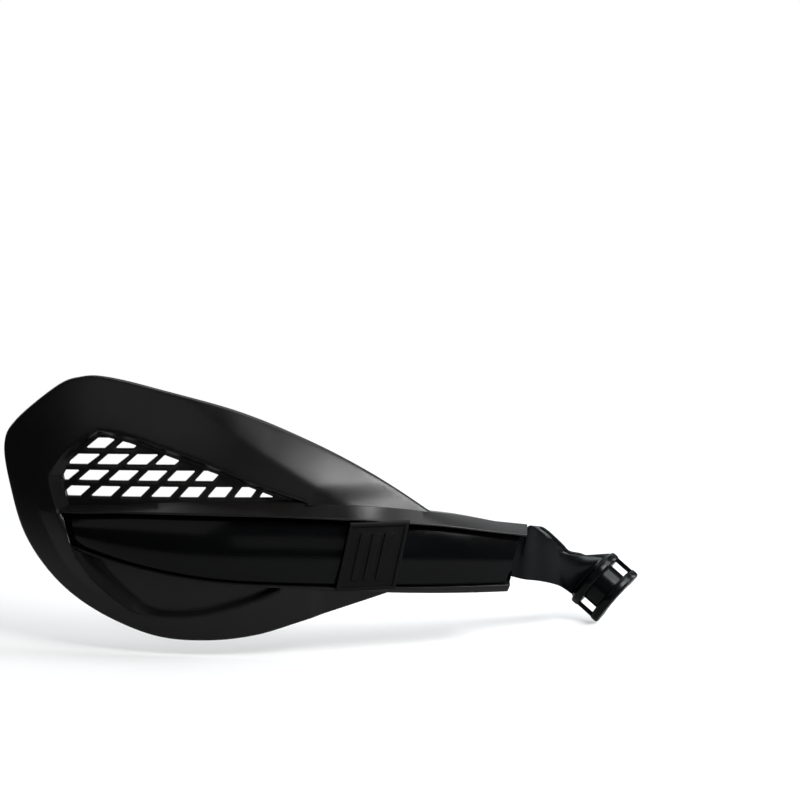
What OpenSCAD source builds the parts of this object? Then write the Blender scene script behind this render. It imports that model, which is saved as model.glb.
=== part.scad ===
// Motorcycle hand guard, left in the picture. The frame's origin is the centre of the bar saddle.
// X runs along the guard to the middle of the bike, Z is up, and the guard's face looks along -Y.

/* [Place of the shield] */
// Sideways place of the shield from the saddle, in mm
shield_x = -3.6; // [-20:0.2:20]
// How far the shield stands forward of its usual place, in mm
shield_out = 0; // [-10:0.5:10]
// Height of the shield over the saddle, in mm
shield_z = 3.4; // [-20:0.2:20]

/* [Sheet form] */
// Wall of the moulding
wall = 2.6; // [2:0.1:4]
// Foremost line of the sheet, sideways
nose_x = -200; // [-240:1:-160]
// Foremost line of the sheet, forward
nose_y = -85; // [-110:1:-70]
// Radius of the wrap around the hand, outer side
wrap_out = 190; // [170:1:400]
// Radius of the sheet on the inner side
wrap_in = 430; // [300:5:900]
// Height at which the sheet stands foremost
crown_z = 30; // [10:1:50]
// Radius of the sheet from top to bottom
crown_r = 160; // [120:5:400]
// Fall of the wing behind its ridge, per mm
wing_fall = 0.45; // [0.1:0.05:0.8]
// Softness of the wing's ridge
wing_soft = 3; // [1:0.5:8]
// Rise of the arched lines for a mm of wrap
arch_rate = 0.176; // [0:0.01:0.4]

/* [Recess and vent] */
// Depth of the large recess
recess_depth = 5; // [3:0.5:8]
// Rows of vent holes
vent_rows = 4; // [2:1:6]
// Height of a vent hole
vent_h = 5.3; // [3:0.1:6.5]
// Pitch of the rows
vent_pitch = 8.4; // [7:0.1:12]
// Height of the lowest row's lower edge
vent_low = 66.2; // [64:0.2:75]
// Pitch of the slanted bars at the outer end
bar_pitch = 17.3; // [14:0.1:24]
// Shrink of the pitch from bar to bar
bar_shrink = 0.76; // [0:0.02:1]
// Width of a slanted bar at the outer end
bar_w = 6.2; // [3:0.1:8]
// Lean of the slanted bars at the outer end, sideways per mm of height
bar_lean = 1.19; // [0:0.05:1.4]
// Loss of lean from bar to bar
lean_loss = 0.075; // [0:0.005:0.12]
// Corner radius of the holes
hole_r = 0.7; // [0.3:0.1:1.5]
// Plain margin between the recess's foot and the holes
vent_margin = 0.5; // [0.3:0.1:4]

/* [Beam channel] */
// Gap between the cover strip's upper edge and the channel's wall
gap_upper = 2.4; // [1.6:0.1:3]
// Gap between the cover strip's lower edge and the channel's wall
gap_lower = 0.6; // [0.4:0.1:1.2]
// Thickness of the channel's front lips
lip_w = 1.2; // [0.8:0.1:2]
// Depth of the channel's floor
channel_depth = 15; // [14:0.5:22]

/* [Cover strip] */
// Depth of the strip's upper edge behind the lips
strip_edge = 4.4; // [3:0.1:6]
// Depth of the strip's lower edge behind the lips
strip_foot = 2; // [1.5:0.1:4]
// Crown of the strip's face
strip_crown = 2.6; // [1:0.1:3]
// Wall of the strip
strip_wall = 2.4; // [2:0.1:3]
// Depth of the strip's side walls
strip_side = 8; // [7:0.5:10]

/* [Badge clip] */
// Middle of the clip, sideways
badge_x = -129; // [-150:1:-120]
// Width of the clip
badge_w = 32; // [20:1:44]
// Thickness of the clip
badge_t = 2; // [1.5:0.1:3]
// Height of the clip's raised rim and ribs
badge_relief = 0.8; // [0.3:0.1:1.5]
// Diameter of the two press pins
pin_d = 4; // [3:0.5:5]
// Clearance of a press pin in its hole
pin_clear = 0.15; // [0.05:0.05:0.4]

/* [Arm] */
// Thickness of the arm
arm_t = 8; // [5:0.1:10]
// Thickness of the tongue in the channel
tongue_t = 4.2; // [3.5:0.1:5]
// Play of the tongue in the channel
tongue_play = 0.5; // [0.3:0.1:1.5]
// Outer end of the tongue
tongue_end = -112; // [-130:1:-106]

/* [Saddle] */
// Diameter of the handlebar
bar_d = 22.2; // [20:0.1:30]
// Length of the saddle along the bar
saddle_len = 20; // [12:0.5:24]
// Wall of the saddle under the strap
saddle_wall = 2.6; // [2:0.1:4]
// Radial height of the flanges over the strap groove
flange_h = 5; // [3:0.1:6]
// Width of a flange
flange_w = 5.4; // [2.5:0.1:6]
// Width of a strap slot across the bar
slot_w = 3.3; // [2:0.1:5]
// Thin bar outside each strap slot
slot_bar = 2.6; // [1:0.1:2.8]
// Distance of the saddle's edges from the bar's middle plane
saddle_edge = 4; // [2:0.5:6]
// Downward pitch of the handlebar under the saddle, degrees
bar_down = 37.03; // [20:0.5:50]
// Forward turn of the handlebar under the saddle, degrees
bar_turn = 23.42; // [0:0.5:40]
// Roll of the saddle around the bar, degrees
saddle_roll = 0; // [-20:1:20]

/* [Fasteners] */
// Thread diameter of the four screws
screw_d = 5; // [4:0.5:6]
// Clearance around a screw
screw_clear = 0.25; // [0.1:0.05:0.6]
// Diameter of the screw heads
head_d = 9.2; // [7:0.1:11]
// Height of the screw heads
head_h = 2.8; // [2:0.1:4]
// Diameter of the washers
washer_d = 11; // [9:0.5:14]
// Thickness of the washers
washer_t = 1; // [0.6:0.1:2]
// Outer diameter of the threaded inserts
insert_d = 6.8; // [5.5:0.1:8]
// Length of the threaded inserts
insert_l = 4.6; // [4:0.1:6]
// Wall of the bosses around the inserts
boss_wall = 2; // [1.5:0.1:3]
// Gap left where pieces only lie against each other
seat_gap = 0.2; // [0.1:0.05:0.5]

/* [Output] */
// Piece to draw

/* [Hidden] */
bar_r = bar_d / 2;
arm_screw_x = [-99, -70];
spine_screw_x = [-272, -185];
all_screw_x = concat(arm_screw_x, spine_screw_x);
floor_pad = 3;
pad_rise = 0.8;
back_pad = 4;
arm_seat = channel_depth - 6.6;
arm_front = arm_seat + 0.8;
spine_seat = channel_depth - floor_pad - seat_gap;
boss_r = insert_d / 2 + boss_wall;
hole_d = screw_d + 2 * screw_clear;
black_matte = [0.14, 0.13, 0.13];
black_gloss = [0.05, 0.055, 0.06];
zinc = [0.62, 0.63, 0.65];
brass = [0.72, 0.58, 0.3];

// Small helpers: blend, smooth step, and a smooth closed curve through a few points
function mix(a, b, t) = a + (b - a) * t;
function clamp01(t) = max(0, min(1, t));
function smooth01(t) = let(c = clamp01(t)) c * c * (3 - 2 * c);
function spline_at(p, i, t) =
    let(n = len(p), a = p[(i + n - 1) % n], b = p[i], c = p[(i + 1) % n], d = p[(i + 2) % n])
    0.5 * (2 * b + (c - a) * t + (2 * a - 5 * b + 4 * c - d) * t * t
           + (3 * b - a - 3 * c + d) * t * t * t);
function closed_curve(p, m) = [for (i = [0:len(p) - 1]) for (j = [0:m - 1]) spline_at(p, i, j / m)];

// Form of the sheet: the wrap seen from above, the lean seen from the side, and the wing's fall
function plan_y(x) =
    let(dx = x - nose_x, r = dx < 0 ? wrap_out : wrap_in)
    nose_y + r - sqrt(max(r * r - dx * dx, 1));
function base_y(x, z) = plan_y(x) + pow(z - crown_z, 2) / (2 * crown_r);
function ridge_distance(x, z) = (x + 145.5) * 0.534 + (z - 62.5) * 0.846;
function wing_y(x, z) =
    let(s = ridge_distance(x, z), e = sqrt(s * s + wing_soft * wing_soft))
    x < -250 ? 0 : wing_fall * (s + e - wing_soft) / 2 * smooth01((x + 240) / 60);
function slope_x(x, z) = base_y(x + 0.5, z) - base_y(x - 0.5, z);
function slope_z(x, z) = base_y(x, z + 0.5) - base_y(x, z - 0.5);
function stretch(x, z) = sqrt(1 + pow(slope_x(x, z), 2) + pow(slope_z(x, z), 2));
function at_depth(x, z, d) = [x, base_y(x, z) + d * stretch(x, z), z];
function wing_at(x, z, d) = [x, base_y(x, z) + max(0, wing_y(x, z)) + d * stretch(x, z), z];
function arch(x) = arch_rate * (plan_y(x) - nose_y);

// Lines of the beam: the strip's edges, the ledge's back edge and the lower lip, seen from the front
function strip_top(x) = 55.2 - 0.000558 * pow(x + 220, 2);
function gap_top(x) =
    gap_upper - 1 + smooth01((x + 290) / 30) * (1 - smooth01((x + 100) / 40));
function strip_low(x) = 19 - 0.046 * (x + 150.9) + 0.00107 * pow(max(0, -195 - x), 2);
function ledge_z(x) = max(65 - 0.0011 * pow(x + 195, 2), strip_top(x) + gap_top(x) + wall + 0.8);
function lower_lip(x) = strip_low(x) - gap_lower - lip_w - 0.6 - 2.4 * smooth01((x + 200) / 150);
function ledge_depth(x) =
    mix(recess_depth + 0.4, 1.2, smooth01((x + 188) / 26)) + min(9, max(0, wing_y(x, ledge_z(x))));
function lower_depth(x) = mix(recess_depth + 0.2, 1.5, smooth01((x + 215) / 40));
function beam_mid(x) = (strip_top(x) + strip_low(x)) / 2;

// Outline of the shield and of the large recess, drawn flat as seen from the front
outline_knots = [
    [-336.3, 84], [-329, 98.4], [-304.4, 119], [-290, 125], [-275, 126], [-248.2, 121.9],
    [-205.9, 112], [-164.6, 95.3], [-130.4, 77.3], [-100, 57], [-86, 46], [-90, 24],
    [-118.6, 14.4], [-164.9, -0.4], [-192.5, -9.1], [-220.3, -12.6], [-248.4, -11],
    [-279.8, 0.2], [-303.4, 15.2], [-321.8, 36.6], [-331.5, 61.5]];
recess_edge = [
    [-278.3, 98.7], [-290.7, 91.1], [-299.5, 83.5], [-307.6, 72.4], [-305.5, 63.5], [-302.4, 54.7],
    [-296.4, 43.1], [-291.3, 31.8], [-283.4, 20.6], [-272.7, 10.9], [-261, 2.5], [-247.9, 0.6],
    [-233.7, 0.8], [-219.8, 2.8], [-205.8, 6.7], [-192.1, 11.1], [-179, 17], [-164, 64.2],
    [-178.3, 69], [-194.4, 74.8], [-210.5, 81.5], [-226.8, 87.3], [-243.3, 92.3], [-261.1, 96.9]];
recess_foot = [
    [-277, 95], [-286.5, 86.4], [-292.5, 80.4], [-299, 70.9], [-297, 63], [-294.8, 54.5],
    [-287.5, 43.6], [-281.2, 33.5], [-272.3, 22.4], [-262.5, 13.5], [-253.5, 6.8], [-245.5, 4],
    [-233.2, 3.6], [-220.3, 5.2], [-206.6, 8.9], [-193, 13.2], [-182, 18], [-166.5, 63.8],
    [-178.9, 67.7], [-195.3, 73.1], [-211.5, 79.3], [-227.8, 84.6], [-244, 89.5], [-261.3, 93.8]];

// A closed skin over rings of points; the ends are fans, or one flat polygon each
module skin(rings, flat_ends = false) {
    n = len(rings[0]);
    m = len(rings);
    points = [for (r = rings) for (p = r) p];
    sides = [for (i = [0:m - 2]) for (j = [0:n - 1]) for (k = [0:1])
        let(a = i * n + j, b = i * n + (j + 1) % n, c = a + n, d = b + n)
        k == 0 ? [a, b, d] : [a, d, c]];
    first = flat_ends ? [[for (j = [n - 1:-1:0]) j]] : [for (j = [1:n - 2]) [0, j + 1, j]];
    last = flat_ends ? [[for (j = [0:n - 1]) (m - 1) * n + j]]
        : [for (j = [1:n - 2]) [(m - 1) * n, (m - 1) * n + j, (m - 1) * n + j + 1]];
    faces = concat(sides, first, last);
    middle = points[0];
    parts = [for (f = sides) cross(points[f[0]] - middle, points[f[1]] - middle) * (points[f[2]] - middle)];
    total = parts * [for (v = parts) 1];
    polyhedron(points = points, convexity = 10,
               faces = total < 0 ? faces : [for (f = faces) [for (k = [len(f) - 1:-1:0]) f[k]]]);
}

// A flat drawing in X and Z pushed through along Y
module push(points) {
    rotate([90, 0, 0])
        linear_extrude(height = 220, center = true, convexity = 10)
            polygon(points);
}

// The layer of material between two depths behind the sheet's face
module layer(d0, d1, x0 = -342, x1 = -80, z0 = -18, z1 = 132, nx = 28, nz = 13) {
    xs = [for (i = [0:nx]) mix(x0, x1, i / nx)];
    zs = [for (k = [0:nz]) mix(z0, z1, k / nz)];
    front = [for (x = xs) for (z = zs) wing_at(x, z, d0)];
    back = [for (x = xs) for (z = zs) wing_at(x, z, d1)];
    n = nz + 1;
    count = (nx + 1) * n;
    cells = [for (i = [0:nx - 1]) for (k = [0:nz - 1]) i * n + k];
    front_faces = [for (c = cells) for (h = [0:1]) h == 0 ? [c, c + 1, c + n] : [c + 1, c + n + 1, c + n]];
    back_faces = [for (c = cells) for (h = [0:1])
        let(b = c + count) h == 0 ? [b, b + n, b + 1] : [b + 1, b + n, b + n + 1]];
    rim = concat([for (i = [0:nx]) i * n], [for (k = [1:nz]) nx * n + k],
                 [for (i = [nx - 1:-1:0]) i * n + nz], [for (k = [nz - 1:-1:1]) k]);
    q = len(rim);
    walls = [for (j = [0:q - 1]) for (h = [0:1])
        let(a = rim[j], b = rim[(j + 1) % q]) h == 0 ? [a, b, b + count] : [a, b + count, a + count]];
    polyhedron(points = concat(front, back), faces = concat(front_faces, back_faces, walls), convexity = 10);
}

// The bevelled hole of the recess: its edge at the face, its foot at the recess's depth
module bevel_cone(grow = 0, shift = 0) {
    t0 = shift > 0 ? 0 : -0.8;
    t1 = recess_depth + shift + 1.2;
    n = len(recess_edge);
    edge = [for (i = [0:n - 1]) recess_edge[i] + grow * outward(i)];
    foot = [for (i = [0:n - 1]) recess_foot[i] + grow * outward(i)];
    rings = [for (t = [t1, t0]) [for (i = [0:n - 1])
        let(p = mix(edge[i], foot[i], (t - shift) / recess_depth))
        at_depth(p[0], p[1], t)]];
    skin(concat([[for (p = rings[0]) [p[0], 30, p[2]]]], rings, [[for (p = rings[1]) [p[0], -140, p[2]]]]),
         flat_ends = true);
}
function outward(i) =
    let(n = len(recess_edge), a = recess_edge[(i + n - 1) % n], b = recess_edge[(i + 1) % n], t = b - a)
    [-t[1], t[0]] / norm(t) * -1;

// Sideways place of a beam line's point, with the slanted ends
function beam_x(s, z) =
    let(x = mix(-298, -48.5, s)) x + mix(-0.29, 0.33, s) * (z - mix(45, 30, s));
function beam_point(x, z, d) = at_depth(x, z, d);

// The channel with its ledge, lips, walls and floor, as one top-hat section drawn along the beam
function channel_section(s) =
    let(x = mix(-298, -48.5, s), zt = strip_top(x) + gap_top(x), zb = strip_low(x) - gap_lower,
        zl = ledge_z(x), zd = lower_lip(x), f = channel_depth, da = ledge_depth(x), dd = lower_depth(x),
        g = (da + 0.3) / (zl - zt - lip_w),
        du = min(g * (wall - lip_w) - 0.3 + wall * sqrt(1 + g * g), da + wall * 1.1))
    [for (p = [[zl, da], [zt + lip_w, -0.3], [zt + lip_w * 0.6, -0.6], [zt, -0.3], [zt, f],
               [(zt + zb) / 2, f], [zb, f], [zb, 0.1], [zb - lip_w, 0], [zd, dd], [zd, dd + wall],
               [zb - wall, dd + wall + 1], [zb - wall, f + wall], [(zt + zb) / 2, f + wall],
               [zt + wall, f + wall], [zt + wall, du], [zl, da + wall * 1.1]])
        beam_point(beam_x(s, p[0]), p[0], p[1])];
channel_steps = 24;
module channel_beam() {
    skin([for (i = [0:channel_steps]) channel_section(i / channel_steps)], flat_ends = true);
    skin([for (s = [0.004, 0.016]) end_section(s)], flat_ends = true);
}
function end_section(s) =
    let(x = mix(-298, -48.5, s), zt = strip_top(x) + gap_top(x) + wall * 0.6,
        zb = strip_low(x) - gap_lower - wall * 0.6, back = channel_depth + wall * 0.7)
    [for (p = [[zt, 3.6], [zt, back], [zb, back], [zb, 3.6]])
        beam_point(beam_x(s, p[0]), p[0], p[1])];
function beam_hole() =
    let(m = 24, xt = [for (i = [0:m]) mix(-299.5, -60, i / m)],
        xb = [for (i = [m:-1:0]) mix(-293, -60, i / m)])
    concat([for (x = xt) [x, ledge_z(x) - 0.9]], [for (x = xb) [x, lower_lip(x) + 0.9]]);

// Vent holes: level rows cut by slanted bars, clipped by the recess's foot
function row_z(x, w) = w - arch(x);
function bar_x(k, w) =
    -282.8 + bar_pitch * k - bar_shrink / 2 * k * (k - 1) + (w - 71.5) * (bar_lean - lean_loss * k);
function bar_width(k) = bar_w - 0.28 * k;
module vent_hole(k, row) {
    w0 = vent_low + row * vent_pitch;
    w1 = w0 + vent_h;
    x00 = bar_x(k, w0) + bar_width(k);
    x01 = bar_x(k, w1) + bar_width(k);
    x10 = bar_x(k + 1, w0);
    x11 = bar_x(k + 1, w1);
    polygon([[x00, row_z(x00, w0)], [(x00 + x10) / 2, row_z((x00 + x10) / 2, w0)], [x10, row_z(x10, w0)],
             [x11, row_z(x11, w1)], [(x01 + x11) / 2, row_z((x01 + x11) / 2, w1)], [x01, row_z(x01, w1)]]);
}
function vent_area() =
    concat([for (i = [0:4]) recess_foot[i]], [[-296, 56]], [[-168, 56]], [for (i = [17:23]) recess_foot[i]]);
module vent_holes() {
    rotate([90, 0, 0])
        linear_extrude(height = 220, center = true, convexity = 10)
            offset(r = hole_r, $fn = 12)
                offset(delta = 1 - hole_r)
                    offset(delta = -1)
                    intersection() {
                        offset(delta = -vent_margin)
                            polygon(vent_area());
                        for (row = [0:vent_rows - 1], k = [-4:9]) {
                            vent_hole(k, row);
                        }
                    }
}

// Places of the screws: their middle height and the depth scale there
function screw_z(x) = beam_mid(x);
module at_normal(x, z) {
    turn = atan(-slope_x(x, z));
    lean = atan(-slope_z(x, z) * cos(turn));
    translate([x, base_y(x, z), z])
        rotate([0, 0, -turn])
            rotate([-90 + lean, 0, 0])
                children();
}
module along_normal(x, d0, d1, r) {
    at_normal(x, screw_z(x))
        translate([0, 0, d0])
            cylinder(r = r, h = d1 - d0, $fn = 32);
}

// Shield: sheet, recess tub, vent lattice, channel and the screw pads behind, one moulding
module shield_sheet() {
    difference() {
        union() {
            intersection() {
                push(closed_curve(outline_knots, 5));
                layer(0, wall);
            }
            intersection() {
                bevel_cone(wall * 0.8, wall);
                layer(0.6, recess_depth + wall, -315, -150, -6, 104, 16, 9);
            }
        }
        intersection() {
            bevel_cone();
            layer(-9, recess_depth, -315, -150, -6, 104, 16, 9);
        }
        vent_holes();
        push(beam_hole());
    }
}
module shield() {
    color(black_matte)
        translate([shield_x, -shield_out, shield_z])
            difference() {
                union() {
                    shield_sheet();
                    channel_beam();
                    for (x = spine_screw_x) {
                        hull() {
                            along_normal(x, channel_depth - floor_pad, channel_depth + 1, boss_r - 0.4);
                        }
                    }
                    for (x = all_screw_x) {
                        hull() {
                            along_normal(x, channel_depth + 0.8, channel_depth + back_pad, washer_d / 2 + 1);
                        }
                    }
                    for (x = arm_screw_x) {
                        hull() {
                            along_normal(x, channel_depth - pad_rise, channel_depth + 1, boss_r);
                        }
                    }
                }
                for (x = all_screw_x) {
                    hull() {
                        along_normal(x, channel_depth - 6, channel_depth + 12, hole_d / 2);
                    }
                }
            }
}

// Cover strip: a crowned skin with side walls, end walls and four bosses with inserts
function strip_x(s, z) =
    let(x = mix(-294.6, -51.5, s)) x + mix(-0.29, 0.33, s) * (z - mix(52, 30, s));
strip_points = 8;
function strip_face(u, d) = mix(strip_edge, strip_foot, u) - strip_crown * (1 - pow(2 * u - 1, 2)) + d;
function strip_ring(s, full) =
    let(x = mix(-294.6, -51.5, s), zt = strip_top(x), zb = strip_low(x), w = strip_wall,
        outer = [for (i = [0:strip_points]) let(u = i / strip_points) [mix(zt, zb, u), strip_face(u, 0)]],
        inner = [for (i = [strip_points:-1:0]) let(u = i / strip_points)
            [mix(zt - w, zb + w, u), full ? strip_side - 0.1 : strip_face(u, w)]],
        ring = concat([[zt, strip_side]], outer, [[zb, strip_side]],
                      [[zb + w, strip_side]], inner, [[zt - w, strip_side]]))
    [for (p = ring) at_depth(strip_x(s, p[0]), p[0], p[1])];
strip_end = strip_wall / 243;
module strip_body() {
    skin(concat([strip_ring(0, true), strip_ring(strip_end, true)],
                [for (i = [0:24]) strip_ring(mix(strip_end + 0.0005, 0.9995 - strip_end, i / 24), false)],
                [strip_ring(1 - strip_end, true), strip_ring(1, true)]), flat_ends = true);
}
module spine() {
    color(black_gloss)
        translate([shield_x, -shield_out, shield_z])
            difference() {
                union() {
                    strip_body();
                    for (x = arm_screw_x) {
                        hull() {
                            along_normal(x, 2, arm_seat, boss_r);
                        }
                    }
                    for (x = spine_screw_x) {
                        hull() {
                            along_normal(x, 2, spine_seat, boss_r);
                        }
                    }
                }
                for (x = arm_screw_x) {
                    hull() {
                        along_normal(x, arm_seat - insert_l, arm_seat + 3, insert_d / 2);
                    }
                }
                for (x = spine_screw_x) {
                    hull() {
                        along_normal(x, spine_seat - insert_l, spine_seat + 3, insert_d / 2);
                    }
                }
                for (z = badge_pins) {
                    hull() {
                        badge_pin(z, pin_d / 2 + pin_clear, -2, 9);
                    }
                }
            }
}

// Badge clip: a slanted plate over the strip with a raised rim and plain ribs, held by two press pins
badge_pins = [-9, 9];
badge_t0 = -1.9;
badge_crown = 0.8;
function badge_z(v) = mix(strip_low(badge_x) - gap_lower - 0.9, strip_top(badge_x) + gap_upper + 0.5, v);
function badge_face(v, d) = badge_t0 - badge_crown * (1 - pow(2 * v - 1, 2)) + d;
function badge_plate_ring(x0, x1, lean, v, d0, d1) =
    let(z = badge_z(v), dx = lean * (z - badge_z(0.5)))
    [for (p = [[x0, d0], [x1, d0], [x1, d1], [x0, d1]])
        at_depth(p[0] + dx, z, badge_face(v, p[1]))];
module badge_band(x0, x1, v0, v1, d0, d1, steps = 8) {
    skin([for (i = [steps:-1:0])
        badge_plate_ring(badge_x + x0, badge_x + x1, 0.22, mix(v0, v1, i / steps), d0, d1)]);
}
module badge_pin(z, r, d0, d1) {
    translate([badge_x, at_depth(badge_x, beam_mid(badge_x) + z, d0)[1], beam_mid(badge_x) + z])
        rotate([-90, 0, 0])
            cylinder(r = r, h = d1 - d0, $fn = 32);
}
module badge_clip() {
    h = badge_w / 2;
    color(black_matte)
        translate([shield_x, -shield_out, shield_z])
            union() {
                badge_band(-h, h, 0, 1, 0, badge_t * 0.5);
                badge_band(-h + 2, h - 2, 0.07, 0.93, 0.1, badge_t);
                badge_band(-h, -h + 2, 0, 1, -badge_relief, 0.6);
                badge_band(h - 2, h, 0, 1, -badge_relief, 0.6);
                badge_band(-h + 1, h - 1, 0, 0.05, -badge_relief, 0.6, 2);
                badge_band(-h + 1, h - 1, 0.95, 1, -badge_relief, 0.6, 2);
                for (i = [0:2]) {
                    badge_band(-9 + 6.5 * i, -5 + 6.5 * i, 0.16, 0.84, -badge_relief, 0.6);
                }
                for (z = badge_pins) {
                    badge_pin(z, pin_d / 2, -1.6, 6);
                }
            }
}

// Saddle frame: local Z runs along the bar to the middle of the bike, local X is the crown side
bar_axis = [cos(bar_down) * cos(bar_turn), -cos(bar_down) * sin(bar_turn), -sin(bar_down)];
crown_dir = unit([0, -0.985, 0.174] - ([0, -0.985, 0.174] * bar_axis) * bar_axis);
tip_dir = cross(crown_dir, bar_axis);
function unit(v) = v / norm(v);
function saddle_point(a, n, m) = bar_axis * a + crown_dir * n + tip_dir * m;
module in_saddle() {
    multmatrix([[crown_dir[0], tip_dir[0], bar_axis[0], 0],
                [crown_dir[1], tip_dir[1], bar_axis[1], 0],
                [crown_dir[2], tip_dir[2], bar_axis[2], 0],
                [0, 0, 0, 1]])
        rotate([0, 0, saddle_roll])
            children();
}
saddle_r = bar_r + saddle_wall;
flange_r = saddle_r + flange_h;
slot_in = bar_r + 0.7;
slot_out = slot_in + slot_w;
groove_half = saddle_len / 2 - flange_w;

// Arm: straight sections from the tongue to the bend, then round the bar into the outer flange
function arm_row(top, low, back, bulge = 0.9, n = 8) =
    concat([for (i = [0:n]) let(u = i / n) mix(top, low, u) + [0, -bulge * 4 * u * (1 - u), 0]],
           [for (i = [n:-1:0]) let(u = i / n, v = mix(0.06, 0.94, u)) mix(top, low, v) + back]);
function saddle_row(a, r0, r1, half, n = 8) =
    concat([for (i = [0:n]) let(t = mix(half, -half, i / n)) saddle_point(a, r1 * cos(t), r1 * sin(t))],
           [for (i = [n:-1:0]) let(t = mix(half, -half, i / n)) saddle_point(a, r0 * cos(t), r0 * sin(t))]);
function tongue_row(x) =
    let(zt = strip_top(x) - tongue_play - strip_wall, zb = strip_low(x) + tongue_play + strip_wall,
        y = at_depth(x, beam_mid(x), arm_front)[1] - shield_out)
    arm_row([x + shield_x, y, zt + shield_z], [x + shield_x, y, zb + shield_z],
            [0, tongue_t * stretch(x, beam_mid(x)), 0], 0.2);
back_dir = [0.62, 0.78, 0];
arm_shift = [shield_x + 3.6, base_y(-55, 29) + 59.8 + channel_depth - 15 - shield_out, shield_z - 3.4];
function bent_row(w, top, low, back, bulge = 0.9) =
    arm_row(top + w * arm_shift, low + w * arm_shift, back, bulge);
arm_rows = [
    tongue_row(tongue_end), tongue_row(-98), tongue_row(-84), tongue_row(-70), tongue_row(-60),
    bent_row(1, [-49.6, -45.4, 41.6], [-55, -48.6, 17.8], back_dir * arm_t * 0.9),
    bent_row(0.9, [-46.1, -42.7, 46.2], [-49.5, -44.3, 15.9], back_dir * arm_t),
    bent_row(0.7, [-41.3, -37.6, 42.9], [-42, -37.6, 13.4], back_dir * arm_t),
    bent_row(0.55, [-36, -33.2, 37.2], [-34.6, -31.6, 10.6], back_dir * arm_t),
    bent_row(0.4, [-31.7, -28.8, 32], [-28.4, -25.5, 7.3], back_dir * arm_t, 1.1),
    bent_row(0.25, [-27.2, -24, 26.8], [-24.1, -19.5, 3.4], back_dir * arm_t * 0.98, 1.8),
    bent_row(0.1, [-17.9, -15.5, 23.2], [-20.6, -12, -0.8], [0.55, 0.83, 0] * arm_t * 0.9, 4),
    saddle_row(-saddle_len / 2 - 1.6, bar_r + 1.2, flange_r - 1.8, 68),
    saddle_row(-saddle_len / 2 + 0.6, bar_r + 0.9, flange_r - 1.2, 74),
    saddle_row(-saddle_len / 2 + 2.6, bar_r + 0.6, flange_r - 1.4, 70)];
module arm_body() {
    skin(arm_rows, flat_ends = true);
}
module flange(z0) {
    translate([0, 0, z0])
        rotate_extrude($fn = 96)
            polygon([[bar_r - 1, 0], [flange_r - 1.8, 0], [flange_r - 0.9, 0.25], [flange_r - 0.25, 0.9],
                     [flange_r, 1.8], [flange_r, flange_w - 1.8], [flange_r - 0.25, flange_w - 0.9],
                     [flange_r - 0.9, flange_w - 0.25], [flange_r - 1.8, flange_w], [bar_r - 1, flange_w]]);
}
module saddle() {
    in_saddle()
        difference() {
            union() {
                flange(-saddle_len / 2);
                flange(saddle_len / 2 - flange_w);
                translate([0, 0, -saddle_len / 2 + 0.5])
                    cylinder(r = saddle_r, h = saddle_len - 1, $fn = 96);
                for (s = [-1, 1]) {
                    translate([saddle_edge, s > 0 ? slot_out : -slot_out - slot_bar, -groove_half - 1])
                        cube([3.2, slot_bar, 2 * groove_half + 2]);
                }
            }
            translate([saddle_edge - 60, -30, -30])
                cube([60, 60, 60]);
            for (s = [-1, 1]) {
                translate([saddle_edge - 5, s > 0 ? slot_in : -slot_out, -groove_half])
                    cube([20, slot_w, 2 * groove_half]);
            }
        }
}
module mount_arm() {
    color(black_gloss)
        difference() {
            union() {
                arm_body();
                saddle();
                translate([shield_x, -shield_out, shield_z]) {
                    for (x = arm_screw_x) {
                        along_normal(x, arm_seat + seat_gap, channel_depth - pad_rise - seat_gap, boss_r);
                    }
                }
            }
            in_saddle() {
                cylinder(r = bar_r, h = 80, center = true, $fn = 96);
                translate([saddle_edge - 20, -30, -saddle_len / 2 - 3])
                    cube([20, 60, 12]);
            }
            translate([shield_x, -shield_out, shield_z]) {
                for (x = arm_screw_x) {
                    along_normal(x, arm_seat - 4, channel_depth + 4, hole_d / 2);
                }
            }
        }
}

// Screws with domed socket heads, their washers and the inserts, all square to the sheet
head_seat = channel_depth + back_pad + 0.02 + washer_t + 0.02;
module screw_at(x, tip) {
    at_normal(x, screw_z(x))
        difference() {
            union() {
                translate([0, 0, tip])
                    cylinder(d = screw_d - 0.1, h = head_seat - tip + 0.5, $fn = 32);
                translate([0, 0, head_seat])
                    cylinder(d1 = head_d, d2 = head_d * 0.62, h = head_h, $fn = 32);
            }
            translate([0, 0, head_seat + head_h - 1.6])
                cylinder(d = screw_d * 0.64, h = 3, $fn = 6);
        }
}
module arm_screws() {
    color(zinc)
        translate([shield_x, -shield_out, shield_z]) {
            for (x = arm_screw_x) {
                screw_at(x, arm_seat - insert_l + 1);
            }
        }
}
module spine_screws() {
    color(zinc)
        translate([shield_x, -shield_out, shield_z]) {
            for (x = spine_screw_x) {
                screw_at(x, spine_seat - insert_l + 1);
            }
        }
}
module washers() {
    color(zinc)
        translate([shield_x, -shield_out, shield_z]) {
            for (x = all_screw_x) {
                at_normal(x, screw_z(x))
                    translate([0, 0, channel_depth + back_pad + 0.02])
                        difference() {
                            cylinder(d = washer_d, h = washer_t, $fn = 40);
                            translate([0, 0, -1])
                                cylinder(d = hole_d, h = washer_t + 2, $fn = 32);
                        }
            }
        }
}
module insert_at(x, seat) {
    at_normal(x, screw_z(x))
        translate([0, 0, seat - insert_l + 0.04])
            difference() {
                union() {
                    cylinder(d = insert_d - 0.5, h = insert_l - 0.1, $fn = 32);
                    translate([0, 0, 0.5])
                        cylinder(d = insert_d - 0.04, h = 1.3, $fn = 32);
                    translate([0, 0, insert_l - 2])
                        cylinder(d = insert_d - 0.04, h = 1.4, $fn = 32);
                }
                translate([0, 0, -1])
                    cylinder(d = screw_d, h = insert_l + 2, $fn = 32);
            }
}
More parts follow.
